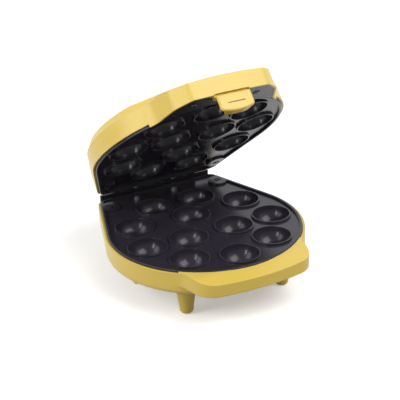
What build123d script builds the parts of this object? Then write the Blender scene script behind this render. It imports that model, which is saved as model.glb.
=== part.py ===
from build123d import *

import math
import os

# Countertop maker for round cake balls, with its lid standing open.
# +X is to the right seen from the grip, -Y is the grip side, +Z is up.
# It is drawn round the middle of the outer ring of cups, and written with its origin
# on the table under the middle of the whole box.
# Lid pieces are drawn closed and then turned open about the hinge.

# Heights above the table
PARTING_Z = 58.0
BASE_BOTTOM_Z = 31.0

# From the middle of the ring to the middle of the whole box
BOX_MIDDLE_Y = 4.1

# Plan of the two plates
PLATE_R = 103.6
PLATE_REAR = PLATE_R + 12.9
SIDE_TAPER = 18.4
REAR_CORNER_R = 9.0
LEAST_CORNER_R = 2.0

# Cups
CUP_R = 19.9
CUP_MARGIN = 8.7
RING_R = PLATE_R - CUP_R - CUP_MARGIN
RING_CUPS = 9
RING_STEP = 44.0
INNER_R = RING_R - RING_STEP
INNER_CUPS = 3
INNER_SHIFT = 0.9

# Plate casting
PLATE_T = 2.2
WEB_DROP = 2.4
RIM_W = 3.0
RIM_GAP = 0.2
RIM_ROUND = 0.8
LIP_W = 1.5
LIP_GAP = 0.3
EAR_X = PLATE_R - 36.1
EAR_Y = PLATE_REAR - 20.7
EAR_R = 11.0
TONGUE_HALF = 15.0
TONGUE_REACH = 6.0
TONGUE_T = 2.0
TONGUE_DROP = 0.6

# Housings
WALL = 2.2
PLATE_GAP = 0.4
SEAM_DROP = 2.8
DECK_STEP = 1.2
LID_LIP = 0.4
STEP_ANGLE = 42.5
BOTTOM_ROUND = 6.0
EDGE_ROUND = 1.5
FLARE_R = 24.0
LID_WALL_H = 22.0
BEVEL_H = 9.0
BEVEL_ANGLE = 36.0
CROWN_H = 5.0
CROWN_R = 820.0

# Lower half of the grip
BASE_NOSE = PLATE_R + 19.2
BASE_NOSE_HALF = PLATE_R - 41.6
BASE_NOSE_R = 260.0
BASE_CORNER_R = 24.0
DECK_SLOPE_Y = PLATE_R - 3.6
DECK_FALL = 3.4
LEDGE_DROP = 17.7

# Upper half of the grip
LID_NOSE = PLATE_R + 25.2
LID_NOSE_BOW = 1.5
LID_NOSE_HALF = PLATE_R - 61.6
LID_NOSE_CORNER_R = 8.0
LID_CHEEK_HALF = PLATE_R - 47.1
LID_CHEEK_Y = LID_NOSE - 16.3
LID_CHEEK_CORNER_R = 22.0
LID_NOSE_H = 18.9
LID_TOP_SLOPE = 15.5
LID_TOP_BOW_R = 500.0

# Both halves of the grip
ROOT_HALF = PLATE_R - 29.6
ROOT_Y = PLATE_R - 43.6

# Hinge
HINGE_Y = PLATE_REAR + 7.0
HINGE_RISE = 7.7
LID_OPEN = 42.2
BARREL_R = 4.0
PIN_R = 1.75
PIN_FIT = 0.05
KNUCKLE_FIT = 0.08
HINGE_X = 39.0
KNUCKLE_HALF = 5.6
LUG_T = 6.0
LUG_GAP = 0.4
PIN_HEAD_R = 2.8
PIN_HEAD_T = 1.2
BRACKET_CLEAR = 0.4
BRACKET_DEPTH = 20.0
BLOCK_INSET = 2.4
BLOCK_T = 2.5
BLOCK_TOP = 3.2
BLOCK_DROP = 5.0
BLOCK_SCREW_INSET = 8.0
BLOCK_SCREW_DROP = 12.0
BLOCK_TAB_R = 5.0
WIRE_TUBE_HALF = 12.0
WIRE_TUBE_BORE = 2.4
WIRE_LUG_T = 8.0

# Latch, measured from the parting plane of the closed lid
LATCH_HALF = 18.5
LATCH_T = 2.6
LATCH_FACE = LID_NOSE + 1.8
LATCH_TOP = 1.8
LATCH_SIDE_BOTTOM = 17.4
LATCH_BOTTOM = 20.4
LATCH_WEB_T = 1.6
LATCH_CORNER_R = 4.0
LATCH_ROUND = 2.0
LATCH_HOOK_TOP = 18.0
LATCH_HOOK_T = 2.0
LATCH_HOOK_HALF = 14.0
LATCH_HOOK_GRIP = 2.2
LATCH_HOOK_REACH = LATCH_FACE - BASE_NOSE + LATCH_HOOK_GRIP
LATCH_PIVOT_Y = LID_NOSE - 6.2
LATCH_PIVOT_RISE = 3.0
LATCH_BARREL_R = 2.2
LATCH_PIN_R = 1.1
LATCH_SIDE_GAP = 0.5
LATCH_NOTCH = 1.3
LATCH_GROOVE_HALF = 9.5
LATCH_GROOVE_DROP = 11.4
LATCH_LUG_T = 3.2
LATCH_LUG_R = 3.0

# Grip cover inside the lid
COVER_T = 2.2
COVER_GAP = 0.3
COVER_SET = 0.4
COVER_SCREW_X = 34.5
COVER_SCREW_Y = LID_NOSE - 18.8
COVER_POST_R = 4.2

# Posts and seats in the housings
POST_R = 5.0
SEAT_R = 4.0
SEAT_RADIUS = PLATE_R - 6.6
SEAT_ANGLE = 20.0
PEG_X = PLATE_R - 15.6
PEG_Y = -7.0
PEG_LENGTH = 18.0
PEG_W = 7.0
PEG_DROP = 12.0

# Feet
FOOT_X = PLATE_R - 47.1
FOOT_Y = PLATE_R - 41.1
FOOT_TOP_R = 11.0
FOOT_TIP_R = 7.2
FOOT_FLAT_R = 4.0
FOOT_ROUND_H = 4.0

# Screws
SCREW_R = 1.5
SCREW_HEAD_R = 3.2
SCREW_HEAD_H = 2.0
SCREW_FIT = 0.05
SCREW_LENGTH = 12.0
SLOT_W = 0.9
SLOT_D = 0.9
RECESS_R = 4.0

# Heating
HEATER_LOOP_R = (RING_R + INNER_R) / 2
HEATER_TUBE_R = 3.25
HEATER_DROP = 16.0
HEATER_LEG_X = 5.5
HEATER_BEND_R = 8.0
HEATER_END_Y = PLATE_REAR - 24.5
HEATER_PIN_R = 1.4
HEATER_PIN_LENGTH = 8.0
STRAP_REACH = 9.0
STRAP_T = 1.5
STRAP_W = 9.0
STRAP_BOSS_R = 3.2
STRAP_FIRST_ANGLE = -70.0
STRAPS = 3
REFLECTOR_INSET = 12.0
REFLECTOR_T = 0.6
REFLECTOR_RIM = 8.0
REFLECTOR_LIFT = 0.8
REFLECTOR_HOLE_GAP = 1.4
STANDOFF_R = 4.0
STANDOFF_RADIUS = PLATE_R - 33.6

# Electrical pieces
THERMOSTAT_R = 7.4
THERMOSTAT_H = 9.0
BLADE_W = 4.0
BLADE_T = 0.8
BLADE_H = 5.0
FUSE_R = 2.0
FUSE_LENGTH = 12.0
FUSE_Y = PLATE_REAR - 17.5
TERMINAL_X = -27.0
TERMINAL_Y = PLATE_REAR - 11.5
TERMINAL_W = 24.0
TERMINAL_D = 7.6
TERMINAL_H = 10.0
GLAND_Z = 41.5
GLAND_R = 6.4
GLAND_FLANGE_R = 8.5
GLAND_FLANGE_T = 2.5
GLAND_NOSE = 3.0
GLAND_INSIDE = 5.0
GLAND_BORE_R = 3.4
GLAND_FIT = 0.1
LEAD_R = 1.0
WIRE_ROOM = 1.7
LEAD_STEP = 4.8
LEAD_LIFT = 6.0
LEAD_SWING = 8.0
LEAD_INSET = 4.0
LEAD_EXIT_Z = 49.5
LAMP_X = 14.0
LAMP_Y = PLATE_REAR - 36.5
LENS_R = 4.5
LENS_FIT = 0.1
LENS_H = 4.2
LENS_PROUD = 1.2
NEON_R = 1.8
NEON_LENGTH = 9.0
HOLDER_T = 1.4
HOLDER_W = 9.0

# Places worked out from the sizes above
SHELL_GROW = PLATE_GAP + WALL
RIM_TOP_Z = PARTING_Z - RIM_GAP
WEB_TOP_Z = PARTING_Z - WEB_DROP
WEB_LOW_Z = WEB_TOP_Z - PLATE_T
SEAM_Z = PARTING_Z - SEAM_DROP
DECK_Z = PARTING_Z - DECK_STEP
FLOOR_Z = BASE_BOTTOM_Z + WALL
LEDGE_Z = PARTING_Z - LEDGE_DROP
BLOCK_SCREW_Z = SEAM_Z - BLOCK_SCREW_DROP
STRAP_R = HEATER_LOOP_R + STRAP_REACH
HINGE_Z = PARTING_Z + HINGE_RISE
SHELL_REAR = PLATE_REAR + SHELL_GROW
TAPER = math.radians(SIDE_TAPER)
REAR_HALF = (PLATE_R - PLATE_REAR * math.sin(TAPER)) / math.cos(TAPER)
BLOCK_HALF = REAR_HALF - BLOCK_INSET
BLOCK_SCREW_X = BLOCK_HALF - BLOCK_SCREW_INSET
CEILING_Z = PARTING_Z + LID_WALL_H + BEVEL_H - WALL
CROWN_Z = PARTING_Z + LID_WALL_H + BEVEL_H + CROWN_H
HEATER_Z = PARTING_Z - HEATER_DROP
REFLECTOR_Z = FLOOR_Z + REFLECTOR_LIFT
PIVOT_Z = PARTING_Z + LATCH_PIVOT_RISE
FAR = 400.0


# Small helpers

def block(x_range, y_range, z_range):
    """Box between three pairs of limits."""
    ranges = (x_range, y_range, z_range)
    centre = [(low + high) / 2 for low, high in ranges]
    size = [high - low for low, high in ranges]
    return Pos(*centre) * Box(*size)


def post(x, y, radius, z_low, z_high):
    """Upright round post between two heights."""
    return Pos(x, y, (z_low + z_high) / 2) * Cylinder(radius, z_high - z_low)


def cross_rod(x_low, x_high, y, z, radius):
    """Round rod along X."""
    return Pos((x_low + x_high) / 2, y, z) * Rot(0, 90, 0) * Cylinder(radius, x_high - x_low)


def long_rod(x, y_low, y_high, z, radius):
    """Round rod along Y."""
    return Pos(x, (y_low + y_high) / 2, z) * Rot(90, 0, 0) * Cylinder(radius, y_high - y_low)


def slab(profile, z_low, z_high):
    """Flat outline raised between two heights."""
    return extrude(Pos(0, 0, z_low) * profile, z_high - z_low, dir=(0, 0, 1))


def side_prism(points, x_low, x_high):
    """Outline drawn in Y and Z, run along X."""
    face = make_face(Plane.YZ * Polyline(*points, close=True))
    return extrude(Pos(x_low, 0, 0) * face, x_high - x_low, dir=(1, 0, 0))


def polar(radius, degrees):
    """Point on a circle about the origin."""
    angle = math.radians(degrees)
    return radius * math.cos(angle), radius * math.sin(angle)


def mirrored_pair(shape):
    """A shape and its mirror image across the middle plane."""
    return [shape, mirror(shape, about=Plane.YZ)]


def upside_down(shape):
    """The same piece mirrored across the parting plane, for the lid."""
    return mirror(shape, about=Plane.XY.offset(PARTING_Z))


def group(shapes):
    """Separate solids kept together as one node."""
    return Compound([solid for shape in shapes for solid in shape.solids()])


def lead(*points):
    """Insulated lead along straight runs with round elbows."""
    body = Pos(*points[1]) * Sphere(LEAD_R)
    for point in points[2:-1]:
        body += Pos(*point) * Sphere(LEAD_R)
    for start, end in zip(points, points[1:]):
        run = Vector(*end) - Vector(*start)
        middle = Pos(0, 0, run.length / 2) * Cylinder(LEAD_R, run.length)
        body += Plane(origin=start, z_dir=run) * middle
    return body


def pan_screw(x, y, seat_z, length=SCREW_LENGTH):
    """Cross-head screw that points down, with its head on a seat."""
    top_z = seat_z + SCREW_HEAD_H
    head = post(x, y, SCREW_HEAD_R, seat_z, top_z)
    head = fillet(head.edges().group_by(Axis.Z)[-1], SCREW_HEAD_H / 2)
    arm = SCREW_HEAD_R * 0.6
    for half_x, half_y in ((arm, SLOT_W / 2), (SLOT_W / 2, arm)):
        head -= block((x - half_x, x + half_x), (y - half_y, y + half_y), (top_z - SLOT_D, top_z + 1))
    return head + post(x, y, SCREW_R, seat_z - length, seat_z)


# Outlines

def body_profile(grow):
    """Round plan with straight sides that draw in towards the hinge."""
    radius = PLATE_R + grow
    rear = PLATE_REAR + grow
    slope = math.radians(SIDE_TAPER)
    side_x = radius * math.cos(slope)
    side_y = radius * math.sin(slope)
    corner_x = (radius - rear * math.sin(slope)) / math.cos(slope)
    front = ThreePointArc((-side_x, side_y), (0, -radius), (side_x, side_y))
    back = Polyline((side_x, side_y), (corner_x, rear), (-corner_x, rear), (-side_x, side_y))
    face = make_face(front.edges() + back.edges())
    corner_r = max(REAR_CORNER_R + grow, LEAST_CORNER_R)
    return fillet(face.vertices().group_by(Axis.Y)[-1], corner_r)


def grip_profile(nose, bow, nose_half, cheeks):
    """Plan of one half of the grip, run back into the round body."""
    edge_y = bow - nose
    front = ThreePointArc((-nose_half, edge_y), (0, -nose), (nose_half, edge_y))
    right = [(nose_half, edge_y), *cheeks, (ROOT_HALF, -ROOT_Y)]
    left = [(-x, y) for x, y in reversed(right)]
    return make_face(front.edges() + Polyline(*right, *left).edges())


def round_pair(face, y, radius):
    """Round the two corners of an outline that lie at one Y."""
    return fillet(face.vertices().filter_by_position(Axis.Y, y - 0.5, y + 0.5), radius)


def shell_profile(grip, inset):
    """Plan of a housing: body and grip with flared corners between them."""
    outline = body_profile(SHELL_GROW) + grip
    radius = PLATE_R + SHELL_GROW
    corners = [v for v in outline.vertices() if v.Y < 0 and abs(math.hypot(v.X, v.Y) - radius) < 0.01]
    outline = fillet(corners, FLARE_R)
    if inset:
        outline = offset(outline, amount=-inset)
    return outline


def base_grip():
    """Plan of the lower half of the grip, bowed in front."""
    bow = BASE_NOSE_R - math.sqrt(BASE_NOSE_R ** 2 - BASE_NOSE_HALF ** 2)
    face = grip_profile(BASE_NOSE, bow, BASE_NOSE_HALF, ())
    return round_pair(face, bow - BASE_NOSE, BASE_CORNER_R)


def lid_grip():
    """Plan of the upper half of the grip, nearly straight in front."""
    cheeks = ((LID_CHEEK_HALF, -LID_CHEEK_Y),)
    face = grip_profile(LID_NOSE, LID_NOSE_BOW, LID_NOSE_HALF, cheeks)
    face = round_pair(face, LID_NOSE_BOW - LID_NOSE, LID_NOSE_CORNER_R)
    return round_pair(face, -LID_CHEEK_Y, LID_CHEEK_CORNER_R)


def front_sector():
    """Wedge in plan where the housings step up to the parting plane."""
    side_x, side_y = polar(FAR, STEP_ANGLE - 90)
    return make_face(Polyline((0, 0), (side_x, side_y), (-side_x, side_y), close=True))


def seam_cut():
    """What is taken off the lower housing along its sides and back."""
    whole = Rectangle(FAR, FAR)
    return slab(whole - front_sector(), SEAM_Z, PARTING_Z + 1)


# Places that repeat

def cup_centres():
    """Plan positions of all cups in a plate."""
    step = 360 / RING_CUPS
    ring = [polar(RING_R, step * index - 90) for index in range(RING_CUPS)]
    inner = [polar(INNER_R, 360 / INNER_CUPS * index + 90) for index in range(INNER_CUPS)]
    return ring + [(x, y + INNER_SHIFT) for x, y in inner]


def seat_places():
    """Front posts that carry a plate."""
    return [polar(SEAT_RADIUS, -90 + side * SEAT_ANGLE) for side in (-1, 1)]


def ear_places():
    """Rear posts under the ears of a plate."""
    return [(-EAR_X, EAR_Y), (EAR_X, EAR_Y)]


def strap_angles():
    """Directions of the heater straps, between neighbouring cups."""
    return [STRAP_FIRST_ANGLE + 360 / STRAPS * index for index in range(STRAPS)]


def standoff_places():
    """Low pads that carry a reflector, under the heater straps."""
    return [polar(STANDOFF_RADIUS, angle) for angle in strap_angles()]


def foot_places():
    """Plan positions of the four feet by name."""
    return {
        "front_left_foot": (-FOOT_X, -FOOT_Y),
        "front_right_foot": (FOOT_X, -FOOT_Y),
        "rear_left_foot": (-FOOT_X, FOOT_Y),
        "rear_right_foot": (FOOT_X, FOOT_Y),
    }


# Plate, heater and reflector, drawn for the base

def cooking_plate():
    """Cast plate with half-ball cups, a raised rim, rear ears and a front tongue."""
    plate = slab(body_profile(0), WEB_LOW_Z, RIM_TOP_Z)
    plate = fillet(plate.edges().group_by(Axis.Z)[-1], RIM_ROUND)
    plate -= slab(body_profile(-RIM_W), WEB_TOP_Z, PARTING_Z)
    below = block((-FAR, FAR), (-FAR, FAR), (0, WEB_TOP_Z - PLATE_T / 2))
    for x, y in cup_centres():
        plate += (Pos(x, y, PARTING_Z) * Sphere(CUP_R + PLATE_T)) & below
        plate += post(x, y, CUP_R + LIP_W, WEB_LOW_Z, PARTING_Z - LIP_GAP)
    for x, y in ear_places():
        plate += post(x, y, EAR_R, WEB_LOW_Z, RIM_TOP_Z) & slab(body_profile(-RIM_ROUND), 0, FAR)
    for angle in strap_angles():
        x, y = polar(STRAP_R, angle)
        plate += post(x, y, STRAP_BOSS_R, HEATER_Z - HEATER_TUBE_R, WEB_TOP_Z - PLATE_T / 2)
    front = (-TONGUE_HALF, TONGUE_HALF)
    tongue_y = (-PLATE_R - TONGUE_REACH, RIM_W * 2 - PLATE_R)
    tongue_top_z = WEB_LOW_Z - TONGUE_DROP
    plate += block(front, tongue_y, (tongue_top_z - TONGUE_T, tongue_top_z))
    neck_y = (RIM_ROUND - PLATE_R, RIM_W * 2 - PLATE_R)
    plate += block(front, neck_y, (tongue_top_z - TONGUE_T, WEB_LOW_Z))
    for x, y in cup_centres():
        plate -= Pos(x, y, PARTING_Z) * Sphere(CUP_R)
    for x, y in ear_places():
        plate -= post(x, y, SCREW_R + SCREW_FIT, 0, PARTING_Z)
        plate -= post(x, y, RECESS_R, RIM_TOP_Z - SCREW_HEAD_H, PARTING_Z)
    for angle in strap_angles():
        x, y = polar(STRAP_R, angle)
        plate -= post(x, y, SCREW_R + SCREW_FIT, 0, WEB_LOW_Z)
    return plate


def plate_screws():
    """Two screws through the ears of a plate."""
    return group([pan_screw(x, y, RIM_TOP_Z - SCREW_HEAD_H) for x, y in ear_places()])


def heater():
    """Tubular element: an open ring between the cups, with two legs to the back."""
    turn_x = HEATER_LEG_X + HEATER_BEND_R
    turn_y = math.sqrt((HEATER_LOOP_R + HEATER_BEND_R) ** 2 - turn_x ** 2)
    shrink = HEATER_LOOP_R / (HEATER_LOOP_R + HEATER_BEND_R)
    meet_x = turn_x * shrink
    meet_y = turn_y * shrink
    half = math.degrees(math.atan2(meet_y, meet_x)) / 2
    middle_x = turn_x - HEATER_BEND_R * math.cos(math.radians(half))
    middle_y = turn_y - HEATER_BEND_R * math.sin(math.radians(half))
    path = Polyline((HEATER_LEG_X, HEATER_END_Y), (HEATER_LEG_X, turn_y)).edges()
    path += ThreePointArc((HEATER_LEG_X, turn_y), (middle_x, middle_y), (meet_x, meet_y)).edges()
    path += ThreePointArc((meet_x, meet_y), (0, -HEATER_LOOP_R), (-meet_x, meet_y)).edges()
    path += ThreePointArc((-meet_x, meet_y), (-middle_x, middle_y), (-HEATER_LEG_X, turn_y)).edges()
    path += Polyline((-HEATER_LEG_X, turn_y), (-HEATER_LEG_X, HEATER_END_Y)).edges()
    start = Plane(origin=(HEATER_LEG_X, HEATER_END_Y, HEATER_Z), z_dir=(0, -1, 0))
    tube = sweep(start * Circle(HEATER_TUBE_R), path=Pos(0, 0, HEATER_Z) * Wire(path))
    for x in (-HEATER_LEG_X, HEATER_LEG_X):
        tube += long_rod(x, HEATER_END_Y - 1, HEATER_END_Y + HEATER_PIN_LENGTH, HEATER_Z, HEATER_PIN_R)
    return tube


def heater_straps():
    """Flat straps that press the element up against the plate's bosses."""
    low_z = HEATER_Z - HEATER_TUBE_R - STRAP_T
    straps = []
    for angle in strap_angles():
        inner = HEATER_LOOP_R - HEATER_TUBE_R
        outer = STRAP_R + STRAP_BOSS_R
        strap = block((inner, outer), (-STRAP_W / 2, STRAP_W / 2), (low_z, low_z + STRAP_T))
        strap -= post(STRAP_R, 0, SCREW_R + SCREW_FIT, 0, FAR)
        straps.append(Rot(0, 0, angle) * strap)
    return group(straps)


def strap_screws():
    """One screw up through each strap."""
    seat_z = HEATER_Z - HEATER_TUBE_R - STRAP_T
    length = STRAP_T + SCREW_LENGTH / 2
    screws = []
    for angle in strap_angles():
        x, y = polar(STRAP_R, angle)
        screws.append(mirror(pan_screw(x, y, seat_z, length), about=Plane.XY.offset(seat_z)))
    return group(screws)


def reflector():
    """Thin tray that throws the heat back at the plate."""
    tray = slab(body_profile(-REFLECTOR_INSET), REFLECTOR_Z, REFLECTOR_Z + REFLECTOR_RIM)
    inside = body_profile(-REFLECTOR_INSET - REFLECTOR_T)
    tray -= slab(inside, REFLECTOR_Z + REFLECTOR_T, REFLECTOR_Z + REFLECTOR_RIM + 1)
    for x, y in ear_places():
        tray -= post(x, y, POST_R + REFLECTOR_HOLE_GAP, 0, FAR)
    for x, y in foot_places().values():
        tray -= post(x, y, SCREW_HEAD_R + REFLECTOR_HOLE_GAP, 0, FAR)
    leg_gap = HEATER_LEG_X + HEATER_TUBE_R + REFLECTOR_HOLE_GAP
    tray -= block((-leg_gap, leg_gap), (HEATER_END_Y, FAR), (HEATER_Z - HEATER_TUBE_R - 1, FAR))
    return tray


# Base pieces

def base_body(inset):
    """Outside of the base, or its hollow when inset by one wall."""
    tub = slab(body_profile(SHELL_GROW - inset), BASE_BOTTOM_Z + inset, DECK_Z)
    tub = fillet(tub.edges().group_by(Axis.Z)[0], BOTTOM_ROUND - inset)
    grip = slab(shell_profile(base_grip(), inset), LEDGE_Z + inset, DECK_Z)
    if not inset:
        grip = fillet(grip.edges().group_by(Axis.Z)[0], EDGE_ROUND)
    slope = DECK_FALL / (BASE_NOSE - DECK_SLOPE_Y)
    far_z = DECK_Z - slope * (FAR - DECK_SLOPE_Y)
    deck_z = DECK_Z - inset
    above = ((-DECK_SLOPE_Y, deck_z), (-FAR, far_z - inset), (-FAR, FAR), (FAR, FAR), (FAR, deck_z))
    return tub + grip - side_prism(above, -FAR, FAR)


def hinge_bracket(x_low, x_high):
    """Rib on the back of the base that carries one end of a hinge line."""
    front_y = SHELL_REAR + BRACKET_CLEAR
    back_y = HINGE_Y + BARREL_R
    low_z = SEAM_Z - BRACKET_DEPTH
    points = (
        (SHELL_REAR, SEAM_Z), (front_y, SEAM_Z), (front_y, HINGE_Z), (back_y, HINGE_Z),
        (back_y, low_z + BARREL_R * 2), (SHELL_REAR, low_z),
    )
    return side_prism(points, x_low, x_high) + cross_rod(x_low, x_high, HINGE_Y, HINGE_Z, BARREL_R)


def hinge_spans():
    """X limits of the two lugs on each side of one hinge, for +X."""
    inner = HINGE_X - KNUCKLE_HALF - LUG_GAP
    outer = HINGE_X + KNUCKLE_HALF + LUG_GAP
    return ((inner - LUG_T, inner), (outer, outer + LUG_T))


def wire_lug_span():
    """X limits of the hollow bracket beside the wire tube, for +X."""
    return WIRE_TUBE_HALF + LUG_GAP, WIRE_TUBE_HALF + LUG_GAP + WIRE_LUG_T


def base_shell():
    """Lower housing: tub, lower grip, posts, pegs and hinge brackets."""
    shell = base_body(0)
    shell -= base_body(WALL)
    shell -= slab(body_profile(PLATE_GAP), DECK_Z - WALL - 1, PARTING_Z + 1)
    shell -= seam_cut()
    for x, y in ear_places():
        shell += post(x, y, POST_R, FLOOR_Z - WALL / 2, WEB_LOW_Z)
    for x, y in seat_places():
        shell += post(x, y, SEAT_R, FLOOR_Z - WALL / 2, WEB_LOW_Z)
    for x, y in standoff_places():
        shell += post(x, y, STANDOFF_R, FLOOR_Z - WALL / 2, REFLECTOR_Z)
    for x in (-PEG_X, PEG_X):
        peg = block(
            (x - PEG_W / 2, x + PEG_W / 2), (PEG_Y - PEG_LENGTH / 2, PEG_Y + PEG_LENGTH / 2),
            (BASE_BOTTOM_Z - PEG_DROP, BASE_BOTTOM_Z + WALL / 2),
        )
        peg = fillet(peg.edges().filter_by(Axis.Z), PEG_W / 2 - 0.5)
        shell += fillet(peg.edges().group_by(Axis.Z)[0], EDGE_ROUND)
    for x, y in ear_places():
        shell -= post(x, y, SCREW_R + SCREW_FIT, WEB_LOW_Z - SCREW_LENGTH, WEB_LOW_Z)
    for x, y in foot_places().values():
        shell -= post(x, y, SCREW_R + SCREW_FIT, 0, FLOOR_Z + 1)
    shell -= long_rod(0, SHELL_REAR - WALL - 1, SHELL_REAR + 1, GLAND_Z, GLAND_R + GLAND_FIT)
    for x in block_screw_places():
        shell -= long_rod(x, SHELL_REAR - WALL - 1, SHELL_REAR + 1, BLOCK_SCREW_Z, SCREW_R + SCREW_FIT)
    for channel in mirrored_pair(wire_channel()):
        shell -= channel
    return shell


def wire_channel():
    """Square way for leads, from the hinge axis down and in through the back wall."""
    wire_low, wire_high = wire_lug_span()
    wire_x = (wire_low + wire_high) / 2
    half = LEAD_R * WIRE_ROOM
    x_range = (wire_x - half, wire_x + half)
    y_range = (HINGE_Y - half, HINGE_Y + half)
    channel = block((wire_low - 1, wire_x + half), y_range, (HINGE_Z - half, HINGE_Z + half))
    channel += block(x_range, y_range, (LEAD_EXIT_Z - half, HINGE_Z + half))
    inward = (SHELL_REAR - WALL - 1, HINGE_Y + half)
    return channel + block(x_range, inward, (LEAD_EXIT_Z - half, LEAD_EXIT_Z + half))


def block_screw_places():
    """X places of the screws that hold the hinge block."""
    return (-BLOCK_SCREW_X, BLOCK_SCREW_X)


def hinge_block():
    """Black moulding across the back: a low strip with the fixed hinge lugs."""
    strip_y = (SHELL_REAR + BRACKET_CLEAR, SHELL_REAR + BRACKET_CLEAR + BLOCK_T)
    body = block((-BLOCK_HALF, BLOCK_HALF), strip_y, (SEAM_Z - BLOCK_DROP, PARTING_Z + BLOCK_TOP))
    body += block((-BLOCK_HALF, BLOCK_HALF), (SHELL_REAR, strip_y[0]), (SEAM_Z - BLOCK_DROP, SEAM_Z))
    for x in block_screw_places():
        body += long_rod(x, SHELL_REAR, strip_y[1], BLOCK_SCREW_Z, BLOCK_TAB_R)
        tab_z = (BLOCK_SCREW_Z, SEAM_Z - BLOCK_DROP)
        body += block((x - BLOCK_TAB_R, x + BLOCK_TAB_R), (SHELL_REAR, strip_y[1]), tab_z)
    for x_low, x_high in (*hinge_spans(), wire_lug_span()):
        for bracket in mirrored_pair(hinge_bracket(x_low, x_high)):
            body += bracket
    for x in block_screw_places():
        body -= long_rod(x, SHELL_REAR - 1, FAR, BLOCK_SCREW_Z, SCREW_R + SCREW_FIT)
    start = hinge_spans()[0][0] - 1
    end = hinge_spans()[1][1] + 1
    pin_bore = cross_rod(start, end, HINGE_Y, HINGE_Z, PIN_R + PIN_FIT)
    for cut in mirrored_pair(wire_channel()) + mirrored_pair(pin_bore):
        body -= cut
    return body


def hinge_block_screws():
    """Two screws through the hinge block into the base's back wall."""
    seat_y = SHELL_REAR + BRACKET_CLEAR + BLOCK_T
    length = BRACKET_CLEAR + BLOCK_T + WALL * 2
    screw = Rot(-90, 0, 0) * pan_screw(0, 0, 0, length)
    return group([Pos(x, seat_y, BLOCK_SCREW_Z) * screw for x in block_screw_places()])


def foot(x, y):
    """Tapered foot with a rounded tip and a screw hole in its top."""
    top = BASE_BOTTOM_Z
    side = Polyline((FOOT_TIP_R, FOOT_ROUND_H), (FOOT_TOP_R, top), (0, top), (0, 0), (FOOT_FLAT_R, 0))
    tip = RadiusArc((FOOT_FLAT_R, 0), (FOOT_TIP_R, FOOT_ROUND_H), -FOOT_ROUND_H * 1.05)
    body = revolve(Plane.XZ * make_face(side.edges() + tip.edges()), Axis.Z)
    body -= post(0, 0, SCREW_R + SCREW_FIT, top - SCREW_LENGTH, top + 1)
    return Pos(x, y, 0) * body


def foot_screws():
    """Four screws down into the feet."""
    return group([pan_screw(x, y, FLOOR_Z) for x, y in foot_places().values()])


def hinge_pin():
    """Steel pin with a flat head at its outer end, for +X."""
    inner = hinge_spans()[0][0]
    outer = hinge_spans()[1][1]
    pin = cross_rod(inner, outer, HINGE_Y, HINGE_Z, PIN_R)
    return pin + cross_rod(outer, outer + PIN_HEAD_T, HINGE_Y, HINGE_Z, PIN_HEAD_R)


def thermostat():
    """Bimetal switch pressed against the plate between the inner cups."""
    low_z = WEB_LOW_Z - THERMOSTAT_H
    body = post(0, 0, THERMOSTAT_R, low_z, WEB_LOW_Z)
    for x in (-THERMOSTAT_R / 2, THERMOSTAT_R / 2):
        blade_x = (x - BLADE_T / 2, x + BLADE_T / 2)
        body += block(blade_x, (-BLADE_W / 2, BLADE_W / 2), (low_z - BLADE_H, low_z + 1))
    return body


def thermal_fuse():
    """Cut-out fuse in its sleeve, lying on the reflector."""
    z = REFLECTOR_Z + REFLECTOR_T + FUSE_R
    start = TERMINAL_X - FUSE_LENGTH / 2
    sleeve = cross_rod(start, start + FUSE_LENGTH, FUSE_Y, z, FUSE_R)
    return sleeve + cross_rod(start - FUSE_R, start + FUSE_LENGTH + FUSE_R, FUSE_Y, z, LEAD_R / 2)


def terminal_block():
    """Ceramic block with a row of screw wells, on the floor at the back."""
    x_range = (TERMINAL_X - TERMINAL_W / 2, TERMINAL_X + TERMINAL_W / 2)
    y_range = (TERMINAL_Y, TERMINAL_Y + TERMINAL_D - BRACKET_CLEAR)
    body = block(x_range, y_range, (FLOOR_Z, FLOOR_Z + TERMINAL_H))
    for index in range(3):
        x = TERMINAL_X + (index - 1) * TERMINAL_W / 3
        body -= post(x, TERMINAL_Y + TERMINAL_D / 2, SCREW_R, FLOOR_Z + TERMINAL_H / 2, FAR)
    return body


def base_leads():
    """Leads from the block to the heater, and up through the hollow brackets."""
    lead_z = FLOOR_Z + TERMINAL_H + LEAD_R
    wire_low, wire_high = wire_lug_span()
    wire_x = (wire_low + wire_high) / 2
    tube_x = WIRE_TUBE_HALF - LEAD_INSET
    pin_y = HEATER_END_Y + HEATER_PIN_LENGTH + LEAD_R
    block_y = TERMINAL_Y + TERMINAL_D / 2
    leads = [
        lead((-HEATER_LEG_X, pin_y, HEATER_Z + LEAD_LIFT), (-HEATER_LEG_X, pin_y, HEATER_Z),
             (-HEATER_LEG_X - LEAD_SWING, pin_y + LEAD_STEP, HEATER_Z + LEAD_R * 2),
             (TERMINAL_X + TERMINAL_W / 2 - LEAD_R * 3, block_y - LEAD_R, lead_z + LEAD_R)),
    ]
    for side in (-1, 1):
        leads.append(lead(
            (side * tube_x, HINGE_Y, HINGE_Z), (side * wire_x, HINGE_Y, HINGE_Z),
            (side * wire_x, HINGE_Y, LEAD_EXIT_Z), (side * wire_x, block_y, LEAD_EXIT_Z),
            (side * wire_x, block_y, lead_z + LEAD_R),
        ))
    return group(leads)


def cord_gland():
    """Bushing in the back wall where a mains cord enters."""
    y_in = SHELL_REAR - WALL - GLAND_INSIDE
    y_flange = SHELL_REAR + GLAND_FLANGE_T
    body = long_rod(0, y_in, SHELL_REAR, GLAND_Z, GLAND_R)
    body += long_rod(0, SHELL_REAR, y_flange, GLAND_Z, GLAND_FLANGE_R)
    body += long_rod(0, y_flange, y_flange + GLAND_NOSE, GLAND_Z, GLAND_R - 1)
    return body - long_rod(0, y_in - 1, y_flange + GLAND_NOSE + 1, GLAND_Z, GLAND_BORE_R)


# Lid pieces, drawn closed

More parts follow.
